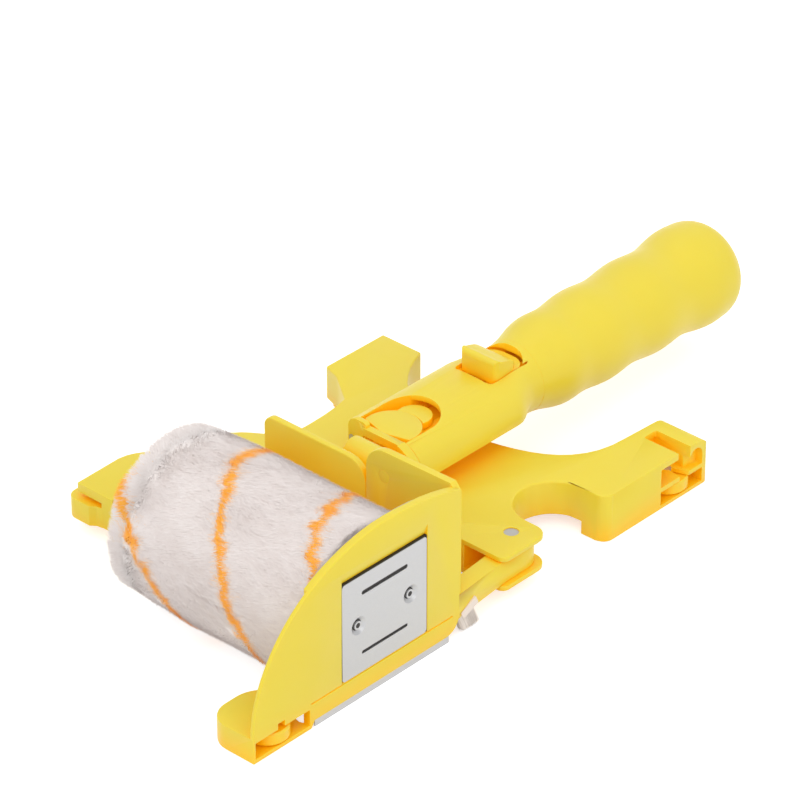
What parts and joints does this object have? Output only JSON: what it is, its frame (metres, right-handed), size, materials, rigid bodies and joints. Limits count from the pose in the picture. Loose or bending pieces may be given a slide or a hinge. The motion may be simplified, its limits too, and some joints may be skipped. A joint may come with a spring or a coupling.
{
  "type": "paint edger",
  "caption": "Roller paint edger: short pile roller in a guard head, hinged to a wheeled frame, with a tilting, swivelling handle that has a thumb lock.",
  "frame": {"origin": "on the painted surface, under the middle of the whole tool", "axes": "+X from the guard's nose to the handle's end, +Y away from the adjoining surface that the guard runs along, +Z out of the painted surface"},
  "size_m": [0.2904, 0.1374, 0.0604],
  "materials": {
    "moulding": "satin",
    "steel": "satin",
    "pile": "woven pile with broken orange stripes",
    "tube": "matt",
    "bristle": "matt"
  },
  "bodies": {
    "frame": {"base_frame": "moulding", "right_wheel_pin": "steel", "left_wheel_pin": "steel", "head_hinge_pin": "steel", "tilt_pin": "steel"},
    "right_guide_wheel": {"right_wheel": "moulding"},
    "left_guide_wheel": {"left_wheel": "moulding"},
    "head": {"guard": "moulding", "foot_wheel_pin": "steel", "edge_sheet": "steel", "clamp_plate": "steel", "clamp_screws": "steel", "corner_brush": "bristle", "brush_clip": "bristle", "roller_bracket": "moulding", "bracket_rivet": "moulding", "roller_axle": "steel"},
    "foot_guide_wheel": {"foot_wheel": "moulding"},
    "roller": {"roller_sleeve": "pile", "roller_core": "tube", "guard_end_cap": "moulding", "bracket_end_cap": "moulding"},
    "tilt": {"tilt_block": "moulding", "index_disc": "moulding", "disc_screw": "steel"},
    "grip": {"handle": "moulding", "front_cap": "moulding", "front_cap_screws": "steel", "handle_cover": "moulding", "cover_screws": "steel", "pole_socket": "moulding"},
    "slide": {"lock_pawl": "moulding", "thumb_slide": "moulding", "pawl_spring": "steel"}
  },
  "joints": [
    {"name": "right_wheel_turn", "type": "hinge", "parent": "frame", "child": "right_guide_wheel", "pos_m": [0.05795, -0.0615, 0.004], "axis": [0, 0, 1], "continuous": true},
    {"name": "left_wheel_turn", "type": "hinge", "parent": "frame", "child": "left_guide_wheel", "pos_m": [-0.08075, 0.0615, 0.009], "axis": [0, 0, 1], "continuous": true},
    {"name": "head_swing", "type": "hinge", "parent": "frame", "child": "head", "pos_m": [-0.01625, -0.0583, 0.011], "axis": [0, 0, 1], "range_deg": [0, 90]},
    {"name": "foot_wheel_turn", "type": "hinge", "parent": "head", "child": "foot_guide_wheel", "pos_m": [-0.1325, -0.0615, 0.004], "axis": [0, 0, 1], "continuous": true},
    {"name": "roller_turn", "type": "hinge", "parent": "head", "child": "roller", "pos_m": [-0.09295, -0.0237, 0.0302], "axis": [0, 1, 0], "continuous": true},
    {"name": "handle_tilt", "type": "hinge", "parent": "frame", "child": "tilt", "pos_m": [-0.03545, -0.0145, 0.0352], "axis": [0, -1, 0], "range_deg": [0, 90]},
    {"name": "handle_swivel", "type": "hinge", "parent": "tilt", "child": "grip", "pos_m": [-0.01665, -0.0068, 0.034], "axis": [0, 0, 1], "range_deg": [-15, 15]},
    {"name": "thumb_travel", "type": "slide", "parent": "grip", "child": "slide", "axis": [1, 0, 0], "range_m": [0, 0.0032], "stiffness_N_per_m": 600, "springref_m": -0.002}
  ]
}
